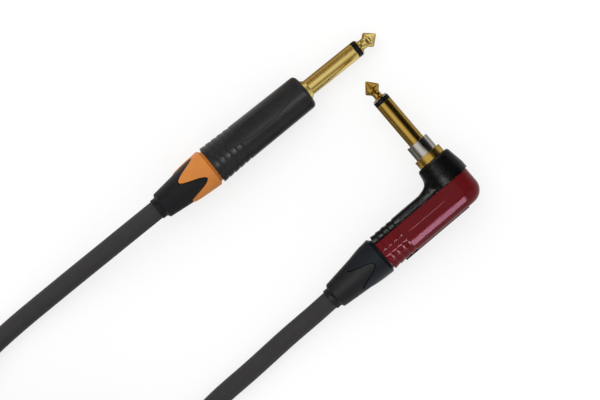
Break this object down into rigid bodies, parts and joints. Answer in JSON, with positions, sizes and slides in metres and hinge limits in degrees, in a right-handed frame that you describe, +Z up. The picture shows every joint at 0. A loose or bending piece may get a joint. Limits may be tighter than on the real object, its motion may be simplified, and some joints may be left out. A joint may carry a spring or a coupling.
{
  "type": "instrument cable",
  "caption": "Shielded audio lead in a loose coil, with a straight jack plug at one end and a right-angle jack plug with a sprung muting sleeve at the other.",
  "frame": {"origin": "on the floor, under the middle of the two plugs and their boots", "axes": "+Z up from the floor the lead lies on; +X to the right and +Y away in the view from above, with both plugs' boots toward -X and -Y"},
  "size_m": [0.2068, 0.2543, 0.031],
  "materials": {
    "angled_body": "glossy moulded",
    "angled_boot": "matte",
    "angled_bushing": "satin",
    "angled_chuck": "satin",
    "angled_collar": "polished, gold plated",
    "angled_core_insulation": "satin",
    "angled_core_wire": "bright copper strands",
    "angled_cover": "glossy moulded",
    "angled_ground_tag": "plated",
    "angled_insulator": "satin",
    "angled_jacket_end": "matte",
    "angled_nut": "plated",
    "angled_rear_insulator": "satin",
    "angled_shield_tail": "bright copper strands",
    "angled_sleeve": "polished, gold plated",
    "angled_spine_strip": "satin",
    "angled_tip": "polished, gold plated",
    "angled_tip_tag": "plated",
    "cable_angled_run": "matte",
    "cable_coil": "matte",
    "cable_straight_run": "matte",
    "mute_magnet": "dark satin",
    "mute_sleeve": "polished",
    "mute_spring": "plated",
    "reed_switch": "clear green",
    "straight_boot": "matte",
    "straight_bushing": "satin",
    "straight_chuck": "satin",
    "straight_core_insulation": "satin",
    "straight_core_wire": "bright copper strands",
    "straight_ground_tag": "plated",
    "straight_insulator": "satin",
    "straight_jacket_end": "matte",
    "straight_rear_insulator": "satin",
    "straight_shell": "satin",
    "straight_shield_tail": "bright copper strands",
    "straight_sleeve": "polished, gold plated",
    "straight_tip": "polished, gold plated",
    "straight_tip_tag": "plated",
    "switch_board": "satin"
  },
  "bodies": {
    "lead": {"angled_body": "angled_body", "angled_boot": "angled_boot", "angled_bushing": "angled_bushing", "angled_chuck": "angled_chuck", "angled_collar": "angled_collar", "angled_core_insulation": "angled_core_insulation", "angled_core_wire": "angled_core_wire", "angled_cover": "angled_cover", "angled_ground_tag": "angled_ground_tag", "angled_insulator": "angled_insulator", "angled_jacket_end": "angled_jacket_end", "angled_nut": "angled_nut", "angled_rear_insulator": "angled_rear_insulator", "angled_shield_tail": "angled_shield_tail", "angled_sleeve": "angled_sleeve", "angled_spine_strip": "angled_spine_strip", "angled_tip": "angled_tip", "angled_tip_tag": "angled_tip_tag", "cable_angled_run": "cable_angled_run", "cable_coil": "cable_coil", "cable_straight_run": "cable_straight_run", "mute_spring": "mute_spring", "reed_switch": "reed_switch", "straight_boot": "straight_boot", "straight_bushing": "straight_bushing", "straight_chuck": "straight_chuck", "straight_core_insulation": "straight_core_insulation", "straight_core_wire": "straight_core_wire", "straight_ground_tag": "straight_ground_tag", "straight_insulator": "straight_insulator", "straight_jacket_end": "straight_jacket_end", "straight_rear_insulator": "straight_rear_insulator", "straight_shell": "straight_shell", "straight_shield_tail": "straight_shield_tail", "straight_sleeve": "straight_sleeve", "straight_tip": "straight_tip", "straight_tip_tag": "straight_tip_tag", "switch_board": "switch_board"},
    "mute": {"mute_sleeve": "mute_sleeve", "mute_magnet": "mute_magnet"}
  },
  "joints": [
    {"name": "mute_slide", "type": "slide", "parent": "lead", "child": "mute", "axis": [0.6481, -0.7615, 0], "range_m": [0, 0.00285], "stiffness_N_per_m": 700, "springref_m": -0.0015, "deforming": ["mute_spring"]}
  ]
}
